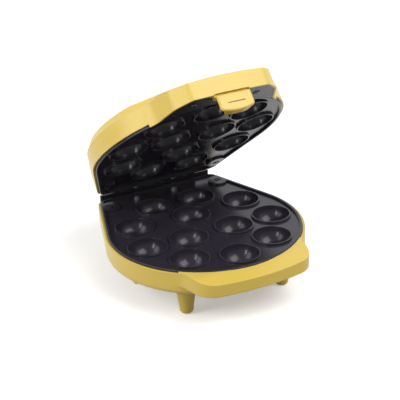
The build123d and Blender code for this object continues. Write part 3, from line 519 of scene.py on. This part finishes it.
class FinishShop:
    """Keeps the object's finishes and puts them on its pieces."""

    YELLOW = Finish(
        "pale_yellow_moulding", (0.840, 0.610, 0.112), (0.815, 0.588, 0.104), 0.38,
        smear=0.06, grain_scale=1500.0, grain_depth=0.00002, dust=0.02, coat=0.20, coat_roughness=0.34,
    )
    NON_STICK = Finish(
        "black_non_stick", (0.0320, 0.0275, 0.0395), (0.0245, 0.0208, 0.0320), 0.22,
        smear=0.06, grain_scale=2400.0, grain_depth=0.0000015, drift_scale=40.0, dust=0.01, specular=0.34,
    )
    BLACK_TRIM = Finish(
        "black_moulding", (0.0190, 0.0180, 0.0240), (0.0130, 0.0122, 0.0175), 0.34,
        smear=0.08, grain_scale=1300.0, grain_depth=0.00003, dust=0.01, specular=0.45,
    )
    STEEL = Finish(
        "zinc_plated_steel", (0.560, 0.560, 0.570), (0.440, 0.440, 0.455), 0.30,
        smear=0.16, grain_scale=2200.0, grain_depth=0.000012, drift_scale=120.0, metallic=1.0,
    )
    BLACKENED = Finish(
        "blackened_steel", (0.085, 0.085, 0.092), (0.050, 0.050, 0.055), 0.38,
        smear=0.14, grain_scale=2200.0, grain_depth=0.000012, drift_scale=120.0, metallic=0.9,
    )
    ELEMENT = Finish(
        "heat_stained_tube", (0.240, 0.215, 0.190), (0.125, 0.118, 0.125), 0.46,
        smear=0.20, grain_scale=1500.0, grain_depth=0.00002, drift_scale=90.0, metallic=0.9,
    )
    SHEET_METAL = Finish(
        "rolled_aluminium", (0.760, 0.765, 0.770), (0.640, 0.645, 0.655), 0.28,
        smear=0.14, grain=Grain.ROLLED, grain_scale=2600.0, grain_depth=0.00001,
        drift_scale=30.0, metallic=1.0,
    )
    CERAMIC = Finish(
        "unglazed_ceramic", (0.720, 0.690, 0.620), (0.620, 0.590, 0.520), 0.72,
        smear=0.10, grain_scale=2400.0, grain_depth=0.00003, drift_scale=90.0,
    )
    FLEXIBLE = Finish(
        "soft_black_sleeve", (0.026, 0.026, 0.027), (0.016, 0.016, 0.017), 0.62,
        smear=0.10, grain=Grain.DRAWN, grain_scale=1600.0, grain_depth=0.00002, drift_scale=60.0,
    )
    RED_LENS = Finish(
        "red_lens", (0.560, 0.030, 0.022), (0.420, 0.018, 0.014), 0.14,
        smear=0.06, grain_scale=700.0, grain_depth=0.00001, drift_scale=160.0,
        coat=0.5, coat_roughness=0.05,
    )
    GREEN_LENS = Finish(
        "green_lens", (0.030, 0.420, 0.085), (0.018, 0.310, 0.058), 0.14,
        smear=0.06, grain_scale=700.0, grain_depth=0.00001, drift_scale=160.0,
        coat=0.5, coat_roughness=0.05,
    )

    def __init__(self) -> None:
        """Starts with no finish built."""
        self.effects = EffectLibrary()
        self.built: dict[str, bpy.types.Material] = {}

    def get(self, finish: Finish) -> bpy.types.Material:
        """Gives a finish's material, building it the first time.

        Args:
            finish: The finish that is wanted.

        Returns:
            Its material.
        """
        if finish.name not in self.built:
            self.built[finish.name] = finish.build(self.effects)
        return self.built[finish.name]

    def coat(self, piece: bpy.types.Object, finish: Finish) -> None:
        """Puts a finish on every material slot of a piece.

        Args:
            piece: The piece to coat.
            finish: The finish it gets.
        """
        material = self.get(finish)
        if not piece.material_slots:
            piece.data.materials.append(material)
        for slot in piece.material_slots:
            slot.material = material

    def coat_nodes(self, names: tuple[str, ...], finish: Finish) -> None:
        """Puts a finish on pieces that keep their frame shape.

        Args:
            names: The frame's nodes.
            finish: The finish they get.
        """
        for name in names:
            self.coat(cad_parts[name], finish)
            LOG.info("frame piece %s has finish %s", name, finish.name)


@dataclass
class CupRings:
    """The crowned lips round the cups of one plate.

    Attributes:
        name: The piece's name.
        body: The body that carries it.
        mirrored: True for the lid's plate, whose cups look down when closed.
        parting_z: Height of the plane where the plates meet, in metres.
        cup_radius: Radius of a cup, in metres.
        lip_width: Width of the raised lip, in metres.
        lip_gap: How far the lip stays below the parting plane, in metres.
        crown: How far the crown stands over the lip, in metres.
        fullness: Power that rounds the crown; below one it is fuller.
        skirt: How far the crown reaches past the lip on each side, in metres.
        skirt_drop: How far its two edges sink into the plate, in metres.
        root: How far its middle reaches down into the plate, in metres.
        crown_steps: Number of faces across the crown.
        round_steps: Number of faces round a cup.
        ring_radius: Radius of the outer ring of cups, in metres.
        ring_cups: Number of cups on it.
        inner_radius: Radius of the inner ring of cups, in metres.
        inner_cups: Number of cups on it.
        inner_shift: How far the inner ring sits back, in metres.
        middle_y: Where the middle of the outer ring is, in metres.
    """

    name: str
    body: Body
    mirrored: bool
    parting_z: float = 0.058
    cup_radius: float = 0.0199
    lip_width: float = 0.0015
    lip_gap: float = 0.0003
    crown: float = 0.00014
    fullness: float = 0.7
    skirt: float = 0.0001
    skirt_drop: float = 0.0004
    root: float = 0.0012
    crown_steps: int = 8
    round_steps: int = 64
    ring_radius: float = 0.075
    ring_cups: int = 9
    inner_radius: float = 0.031
    inner_cups: int = 3
    inner_shift: float = 0.0009
    middle_y: float = -0.0041

    def centres(self) -> list[Pair]:
        """Gives the middle of each cup.

        Returns:
            The x and y of each cup, in metres.
        """
        rings = (
            (self.ring_cups, self.ring_radius, -math.pi / 2.0, self.middle_y),
            (self.inner_cups, self.inner_radius, math.pi / 2.0, self.middle_y + self.inner_shift),
        )
        places = []
        for count, radius, start, middle_y in rings:
            for index in range(count):
                turn = start + 2.0 * math.pi * index / count
                places.append((radius * math.cos(turn), middle_y + radius * math.sin(turn)))
        return places

    def profile(self) -> list[Pair]:
        """Gives the section of the crown, from the cup outwards.

        Returns:
            Radius and height of each point, in metres.
        """
        points = []
        middle = self.cup_radius + self.lip_width / 2.0
        half = self.lip_width / 2.0 + self.skirt
        for step in range(self.crown_steps + 1):
            turn = math.pi * step / self.crown_steps
            rise = self.crown * math.sin(turn) ** self.fullness
            sink = self.skirt_drop * abs(math.cos(turn)) ** 3
            points.append((middle - half * math.cos(turn), rise - sink - self.lip_gap))
        points.append((middle, -self.lip_gap - self.root))
        points.append(points[0])
        return points

    def build(self, hinge: HingeLine, shop: FinishShop) -> bpy.types.Object:
        """Builds the lips of all the plate's cups as one piece.

        Args:
            hinge: The line that the lid turns about.
            shop: The object's finishes.

        Returns:
            The new piece.
        """
        mesh = bmesh.new()
        for x, y in self.centres():
            place = Matrix.Translation(Vector((x, y, self.parting_z)))
            if self.mirrored:
                place = hinge.opened() @ place @ Matrix.Rotation(math.pi, 4, "X")
            MeshBench.lathe(mesh, self.profile(), place, self.round_steps)
        piece = MeshBench.finish(mesh, self.name, self.body, "plates")
        shop.coat(piece, shop.NON_STICK)
        return piece


@dataclass
class LatchSlitShade:
    """A black strip in the bottom of the narrow slit across the latch: painted shade that makes the slit
    read dark.

    Attributes:
        name: The piece's name.
        face_y: Where the latch's face is when the lid is closed, in metres.
        depth: How deep the slit is, in metres.
        height: Height of the slit's middle when the lid is closed, in metres.
        half_length: Half the slit's length, in metres.
        half_width: Half the slit's width, in metres.
        thickness: Thickness of the painted-shade strip, in metres.
    """

    name: str = "latch_slit_painted_shade"
    face_y: float = -0.1347
    depth: float = 0.00086
    height: float = 0.0466
    half_length: float = 0.00945
    half_width: float = 0.00043
    thickness: float = 0.00030

    def build(self, hinge: HingeLine, shop: FinishShop) -> bpy.types.Object:
        """Builds the painted-shade strip in the slit's bottom, which rides on the latch.

        Args:
            hinge: The line that the lid turns about.
            shop: The object's finishes.

        Returns:
            The new piece.
        """
        mesh = bmesh.new()
        middle = Vector((0.0, self.face_y + self.depth - self.thickness / 2.0, self.height))
        size = Matrix.Diagonal((2.0 * self.half_length, self.thickness, 2.0 * self.half_width, 1.0))
        bmesh.ops.create_cube(mesh, size=1.0, matrix=hinge.opened() @ Matrix.Translation(middle) @ size)
        piece = MeshBench.finish(mesh, self.name, Body.LATCH, "black_trim", smooth=False)
        # the black trim finish on this strip paints shade into the slit
        shop.coat(piece, shop.BLACK_TRIM)
        return piece


@dataclass
class CrossScrews:
    """Pan-head screws with a cross recess, which stand for a node of plain screws.

    Attributes:
        name: The new piece's name.
        node: The frame node that it replaces.
        body: The body that carries it.
        heads: Middle of each head's top with the lid closed, in metres.
        opens: True for screws of the lid, whose shanks point up when it is closed.
        radius: Radius of a head, in metres.
        height: Height of a head, in metres.
        dome: How far the face falls from its middle to its edge, in metres.
        dome_power: Power of that fall.
        arm_half: Half the width of a recess arm, in metres.
        arm_reach: Length of a recess arm, as a share of the head's radius.
        arm_depth: Depth of the recess, in metres.
        face_share: Size of the face, as a share of the head's radius.
        face_rings: Number of rings on the face.
        edge_drop: Depth of the head's widest edge, in metres.
        chamfer: Height of the slope under the head, in metres.
        chamfer_share: Size of the head's underside, as a share of its radius.
        shank_radius: Radius of the shank, in metres.
        shank_length: Length of the shank, in metres.
        tip_length: Length of the shank's tapered end, in metres.
        tip_flat: Height of the last slope at the tip, in metres.
        tip_share: Size of the tip, as a share of the shank's radius.
        round_steps: Number of faces round a screw.
        first_spin: How far the first recess is turned, in degrees.
        next_spin: How much further each next one is turned, in degrees.
    """

    name: str
    node: str
    body: Body
    heads: list[Point]
    opens: bool
    radius: float = 0.0032
    height: float = 0.0020
    dome: float = 0.0006
    dome_power: float = 2.6
    arm_half: float = 0.00042
    arm_reach: float = 0.62
    arm_depth: float = 0.0010
    face_share: float = 0.985
    face_rings: int = 13
    edge_drop: float = 0.0009
    chamfer: float = 0.00015
    chamfer_share: float = 0.96
    shank_radius: float = 0.00145
    shank_length: float = 0.0118
    tip_length: float = 0.0012
    tip_flat: float = 0.0001
    tip_share: float = 0.45
    round_steps: int = 64
    first_spin: float = 25.0
    next_spin: float = 40.0

    def head_height(self, radius: float, turn: float) -> float:
        """Works out the height of the head's face, with its cross recess.

        Args:
            radius: Distance from the middle, in metres.
            turn: Angle round the head, in radians.

        Returns:
            The height from the head's top, in metres, which is zero or less.
        """
        fall = self.dome * (radius / self.radius) ** self.dome_power
        across = min(abs(radius * math.cos(turn)), abs(radius * math.sin(turn)))
        in_arm = max(0.0, 1.0 - (across / self.arm_half) ** 4)
        in_reach = max(0.0, 1.0 - (radius / (self.arm_reach * self.radius)) ** 6)
        return -fall - self.arm_depth * in_arm * in_reach

    def add(self, mesh: Mesh, place: Matrix) -> None:
        """Adds one screw.

        Args:
            mesh: The mesh that receives it.
            place: Where the head's top is, with the shank along minus Z.
        """
        tip = -self.height - self.shank_length
        rings = [[mesh.verts.new(place @ Vector((0.0, 0.0, self.head_height(0.0, 0.0))))]]
        for index in range(1, self.face_rings + 1):
            radius = self.radius * self.face_share * index / self.face_rings
            face = partial(self.head_height, radius)
            rings.append(MeshBench.ring(mesh, place, radius, self.round_steps, face))
        for radius, height in self.side(tip):
            rings.append(MeshBench.ring(mesh, place, radius, self.round_steps, lambda turn: height))
        rings.append([mesh.verts.new(place @ Vector((0.0, 0.0, tip)))])
        for low, high in zip(rings, rings[1:]):
            MeshBench.bridge(mesh, low, high)

    def side(self, tip: float) -> list[Pair]:
        """Gives the head's side and the shank below it.

        Args:
            tip: Height of the shank's end, in metres.

        Returns:
            Radius and height of each point, in metres.
        """
        return [
            (self.radius, -self.edge_drop),
            (self.radius, self.chamfer - self.height),
            (self.radius * self.chamfer_share, -self.height),
            (self.shank_radius, -self.height),
            (self.shank_radius, tip + self.tip_length),
            (self.shank_radius * self.tip_share, tip + self.tip_flat),
        ]

    def build(self, hinge: HingeLine, shop: FinishShop) -> bpy.types.Object:
        """Builds the screws as one piece that stands for their node.

        Args:
            hinge: The line that the lid turns about.
            shop: The object's finishes.

        Returns:
            The new piece.
        """
        mesh = bmesh.new()
        for index, head in enumerate(self.heads):
            spin = Matrix.Rotation(math.radians(self.first_spin + self.next_spin * index), 4, "Z")
            place = Matrix.Translation(Vector(head)) @ spin
            if self.opens:
                place = hinge.opened() @ place @ Matrix.Rotation(math.pi, 4, "X")
            self.add(mesh, place)
        piece = MeshBench.finish(mesh, self.name, self.body, "dark_screws")
        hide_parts(self.node)
        shop.coat(piece, shop.BLACKENED)
        return piece


@dataclass
class BaseUnit:
    """The lower housing, its feet, its plate and what is inside it.

    Attributes:
        ear_x: How far each plate screw is from the middle, in metres.
        ear_y: How far behind the middle it is, in metres.
        head_top: Height of the screws' heads, in metres.
    """

    ear_x: float = 0.0675
    ear_y: float = 0.0917
    head_top: float = 0.0578

    HOUSING = ("base_shell", "front_left_foot", "front_right_foot", "rear_left_foot", "rear_right_foot")
    STEEL = ("foot_screws", "lower_strap_screws", "left_hinge_pin", "right_hinge_pin")
    METAL = ("lower_heater_straps", "lower_reflector")
    CERAMIC = ("thermostat", "thermal_fuse", "terminal_block")
    SOFT = ("base_leads", "cord_gland")

    def dress(self, shop: FinishShop) -> None:
        """Puts the finishes on the pieces that keep their frame shape.

        Args:
            shop: The object's finishes.
        """
        shop.coat_nodes(self.HOUSING, shop.YELLOW)
        shop.coat_nodes(("lower_plate",), shop.NON_STICK)
        shop.coat_nodes(("hinge_block",), shop.BLACK_TRIM)
        shop.coat_nodes(("hinge_block_screws",), shop.BLACKENED)
        shop.coat_nodes(self.STEEL, shop.STEEL)
        shop.coat_nodes(self.METAL, shop.SHEET_METAL)
        shop.coat_nodes(("lower_heater",), shop.ELEMENT)
        shop.coat_nodes(self.CERAMIC, shop.CERAMIC)
        shop.coat_nodes(self.SOFT, shop.FLEXIBLE)

    def build(self, hinge: HingeLine, shop: FinishShop) -> None:
        """Builds the lower unit's own pieces and dresses the rest.

        Args:
            hinge: The line that the lid turns about.
            shop: The object's finishes.
        """
        self.dress(shop)
        CupRings("lower_cup_lips", Body.BASE, mirrored=False).build(hinge, shop)
        heads = [(side * self.ear_x, self.ear_y, self.head_top) for side in (-1.0, 1.0)]
        screws = CrossScrews("lower_ear_screws", "lower_plate_screws", Body.BASE, heads, opens=False)
        screws.build(hinge, shop)


@dataclass
class LidUnit:
    """The upper housing, its grip cover, its plate, its latch and what is inside it.

    Attributes:
        ear_x: How far each plate screw is from the middle, in metres.
        ear_y: How far behind the middle it is when closed, in metres.
        head_top: Height of the screws' heads when closed, in metres.
    """

    ear_x: float = 0.0675
    ear_y: float = 0.0917
    head_top: float = 0.0582

    HOUSING = ("lid_shell", "latch")
    STEEL = ("upper_strap_screws", "latch_pin")
    METAL = ("upper_heater_straps", "upper_reflector")

    def dress(self, shop: FinishShop) -> None:
        """Puts the finishes on the pieces that keep their frame shape.

        Args:
            shop: The object's finishes.
        """
        shop.coat_nodes(self.HOUSING, shop.YELLOW)
        shop.coat_nodes(("upper_plate",), shop.NON_STICK)
        shop.coat_nodes(("lid_handle_cover",), shop.BLACK_TRIM)
        shop.coat_nodes(("handle_cover_screws",), shop.BLACKENED)
        shop.coat_nodes(self.STEEL, shop.STEEL)
        shop.coat_nodes(self.METAL, shop.SHEET_METAL)
        shop.coat_nodes(("upper_heater",), shop.ELEMENT)
        shop.coat_nodes(("lamp_holder",), shop.CERAMIC)
        shop.coat_nodes(("lid_leads",), shop.FLEXIBLE)
        shop.coat_nodes(("power_lamp_lens",), shop.RED_LENS)
        shop.coat_nodes(("ready_lamp_lens",), shop.GREEN_LENS)

    def build(self, hinge: HingeLine, shop: FinishShop) -> None:
        """Builds the upper unit's own pieces and dresses the rest.

        Args:
            hinge: The line that the lid turns about.
            shop: The object's finishes.
        """
        self.dress(shop)
        CupRings("upper_cup_lips", Body.LID, mirrored=True).build(hinge, shop)
        # a black strip in the latch's slit is painted shade
        LatchSlitShade().build(hinge, shop)
        heads = [(side * self.ear_x, self.ear_y, self.head_top) for side in (-1.0, 1.0)]
        screws = CrossScrews("upper_ear_screws", "upper_plate_screws", Body.LID, heads, opens=True)
        screws.build(hinge, shop)


@dataclass(frozen=True)
class Softbox:
    """One large studio light.

    Attributes:
        name: The light's name.
        position: Where it stands, in metres.
        power: Its power, in watts.
        width: Its width, in metres.
        height: Its height, in metres.
        mirrored: False for a light that shows in no reflection.
        lighting: False for a light that shows in reflections alone.
    """

    name: str
    position: Point
    power: float
    width: float
    height: float
    mirrored: bool = True
    lighting: bool = True

    def build(self, target: Vector) -> None:
        """Places the light so that it looks at the object.

        Args:
            target: The point it looks at.
        """
        data = bpy.data.lights.new(self.name, "AREA")
        data.shape = "RECTANGLE"
        data.size = self.width
        data.size_y = self.height
        data.energy = self.power
        lamp = bpy.data.objects.new(self.name, data)
        lamp.location = self.position
        lamp.visible_glossy = self.mirrored
        lamp.visible_diffuse = self.lighting
        lamp.rotation_euler = (target - Vector(self.position)).to_track_quat("-Z", "Y").to_euler()
        bpy.context.collection.objects.link(lamp)


@dataclass
class Studio:
    """The floor, the soft lights, the white surroundings and the camera.

    Attributes:
        azimuth: The camera's angle round the object, in degrees.
        elevation: The camera's angle above the horizon, in degrees.
        roll: The camera's tilt, in degrees.
        lens: The camera's lens, in millimetres.
        sensor: Width of the camera's sensor, in millimetres.
        distance: How far the camera is from its target, in metres.
        target: The point the camera looks at, in metres.
        ambient: Light that comes from all round.
        room_side: The way to the room's dim end, which lies before the object.
        room_span: How squarely a reflection faces that end where the dimming begins and ends.
        room_shade: How bright the dim end is in reflections.
        floor_size: Half the floor's width, in metres.
        floor_cells: Number of faces along the floor.
        floor_drop: How far the floor lies under the feet, in metres.
        floor_tone: The floor's colour for light that bounces off it, linear.
        floor_roughness: The floor's roughness.
        floor_specular: Strength of the floor's plain reflection.
        front_span: Where the floor before the object turns dim in reflections, along Y, in metres.
        front_shade: How bright it is there.
        lift_span: How far from the middle the floor's own glow begins and ends to rise, in metres.
        lift: That glow near the object and far from it, which keeps the horizon white.
        aim: The point that the lights look at, in metres.
        lights: The soft boxes.
    """

    azimuth: float = -26.91
    elevation: float = 25.05
    roll: float = -2.32
    lens: float = 109.305
    sensor: float = 36.0
    distance: float = 1.3467
    target: Point = (0.0246, 0.0532, 0.058)
    ambient: float = 0.36
    room_side: Point = (-0.4100, -0.8079, 0.4234)
    room_span: Pair = (0.25, 0.85)
    room_shade: float = 0.16
    floor_size: float = 4.0
    floor_cells: int = 8
    floor_drop: float = 0.0002
    floor_tone: Colour = (0.22, 0.21, 0.20)
    floor_roughness: float = 0.9
    floor_specular: float = 0.1
    front_span: Pair = (-0.25, 0.10)
    front_shade: float = 0.40
    lift_span: Pair = (0.35, 1.60)
    lift: Pair = (0.34, 0.80)
    aim: Point = (0.0, 0.0, 0.09)
    lights: list[Softbox] = field(default_factory=lambda: [
        Softbox("key_softbox", (0.50, -0.95, 1.40), 18.0, 1.3, 1.0),
        Softbox("left_softbox", (-1.25, 0.10, 0.80), 5.8, 0.6, 0.9, mirrored=False),
        Softbox("left_glint", (-1.35, 0.10, 0.85), 4.4, 0.6, 0.9),
        Softbox("tall_strip", (-1.40, -0.60, 0.42), 8.0, 0.20, 1.1, lighting=False),
    ])

    def camera(self) -> None:
        """Places the camera at the photograph's viewing angle."""
        around = math.radians(self.azimuth)
        above = math.radians(self.elevation)
        level = Vector((math.sin(around), -math.cos(around), 0.0))
        back = math.cos(above) * level + math.sin(above) * Vector((0.0, 0.0, 1.0))
        tilt = math.radians(self.roll)
        across = Vector((0.0, 0.0, 1.0)).cross(back).normalized()
        upward = back.cross(across)
        right = math.cos(tilt) * across + math.sin(tilt) * upward
        top = math.cos(tilt) * upward - math.sin(tilt) * across
        data = bpy.data.cameras.new("photo_camera")
        data.lens = self.lens
        data.sensor_width = self.sensor
        camera = bpy.data.objects.new("photo_camera", data)
        turn = Matrix((right, top, back)).transposed().to_4x4()
        camera.matrix_world = Matrix.Translation(Vector(self.target) + back * self.distance) @ turn
        bpy.context.collection.objects.link(camera)
        bpy.context.scene.camera = camera

    def surroundings(self) -> None:
        """Makes the world white to the eye, gentler as light, and dim at one end in reflections."""
        world = bpy.data.worlds.new("white_surroundings")
        bpy.context.scene.world = world
        world.use_nodes = True
        tree = world.node_tree
        backdrop = tree.nodes["Background"]
        backdrop.inputs["Color"].default_value = (*WHITE, 1.0)
        facing = tree.nodes.new("ShaderNodeVectorMath")
        facing.operation = "DOT_PRODUCT"
        tree.links.new(tree.nodes.new("ShaderNodeTexCoord").outputs["Generated"], facing.inputs[0])
        facing.inputs[1].default_value = self.room_side
        dimming = self.slope(tree, facing.outputs["Value"], self.room_span, (1.0, self.room_shade))
        seen = self.seen_rays(tree, dimming)
        share = EffectLibrary.reckon(tree, "MULTIPLY", seen, 1.0 - self.ambient)
        tree.links.new(EffectLibrary.reckon(tree, "ADD", share, self.ambient), backdrop.inputs["Strength"])

    @staticmethod
    def slope(tree: Tree, value: Socket, span: Pair, gives: Pair) -> Socket:
        """Turns a value into a smooth step from one number to another.

        Args:
            tree: The nodes that receive the step.
            value: The value that is read.
            span: Where the step begins and ends.
            gives: The numbers before and after it.

        Returns:
            The step's socket.
        """
        node = tree.nodes.new("ShaderNodeMapRange")
        node.interpolation_type = "SMOOTHSTEP"
        tree.links.new(value, node.inputs["Value"])
        for name, number in zip(("From Min", "From Max", "To Min", "To Max"), span + gives):
            node.inputs[name].default_value = number
        return node.outputs["Result"]

    @staticmethod
    def seen_rays(tree: Tree, mirrored: Socket) -> Socket:
        """Marks the rays that show a surface: to the eye, in a reflection or through a clear piece.

        Args:
            tree: The nodes that receive the mark.
            mirrored: How bright the surface is in reflections.

        Returns:
            A socket that is one for seen rays, and as bright as given for mirrored ones.
        """
        rays = tree.nodes.new("ShaderNodeLightPath").outputs
        plain = EffectLibrary.reckon(tree, "MAXIMUM", rays["Is Camera Ray"], rays["Is Transmission Ray"])
        glossy = EffectLibrary.reckon(tree, "MULTIPLY", rays["Is Glossy Ray"], mirrored)
        return EffectLibrary.reckon(tree, "MAXIMUM", plain, glossy)

    def floor(self) -> None:
        """Lays a plain pale floor under the object."""
        mesh = bmesh.new()
        cells = self.floor_cells
        bmesh.ops.create_grid(mesh, x_segments=cells, y_segments=cells, size=self.floor_size)
        data = bpy.data.meshes.new("pale_floor")
        mesh.to_mesh(data)
        mesh.free()
        piece = bpy.data.objects.new("pale_floor", data)
        piece.location = (0.0, 0.0, -self.floor_drop)
        bpy.context.collection.objects.link(piece)
        data.materials.append(self.floor_material())

    def floor_material(self) -> bpy.types.Material:
        """Builds a white floor that keeps the object's shadow.

        Returns:
            The floor's material.
        """
        material = bpy.data.materials.new("pale_floor")
        material.use_nodes = True
        tree = material.node_tree
        shader = tree.nodes["Principled BSDF"]
        shader.inputs["Roughness"].default_value = self.floor_roughness
        shader.inputs["Specular IOR Level"].default_value = self.floor_specular
        places = tree.nodes.new("ShaderNodeTexCoord").outputs["Object"]
        ways = tree.nodes.new("ShaderNodeSeparateXYZ")
        tree.links.new(places, ways.inputs[0])
        dimming = self.slope(tree, ways.outputs["Y"], self.front_span, (self.front_shade, 1.0))
        seen = self.seen_rays(tree, dimming)
        tones = Finish.mix(tree, seen, self.floor_tone, WHITE)
        tree.links.new(tones, shader.inputs["Base Color"])
        shader.inputs["Emission Color"].default_value = (*WHITE, 1.0)
        away = tree.nodes.new("ShaderNodeVectorMath")
        away.operation = "LENGTH"
        tree.links.new(places, away.inputs[0])
        lift = self.slope(tree, away.outputs["Value"], self.lift_span, self.lift)
        shown = EffectLibrary.reckon(tree, "MULTIPLY", seen, lift)
        tree.links.new(shown, shader.inputs["Emission Strength"])
        return material

    def build(self) -> None:
        """Sets up the view, the camera, the surroundings, the floor and the lights."""
        bpy.context.scene.view_settings.view_transform = "Standard"
        self.camera()
        self.surroundings()
        self.floor()
        for light in self.lights:
            light.build(Vector(self.aim))


def main() -> None:
    """Builds the studio and the object in order."""
    logging.basicConfig(level=logging.INFO, format="%(name)s: %(message)s")
    hinge = HingeLine()
    shop = FinishShop()
    Studio().build()
    BaseUnit().build(hinge, shop)
    LidUnit().build(hinge, shop)


if __name__ == "__main__":
    main()
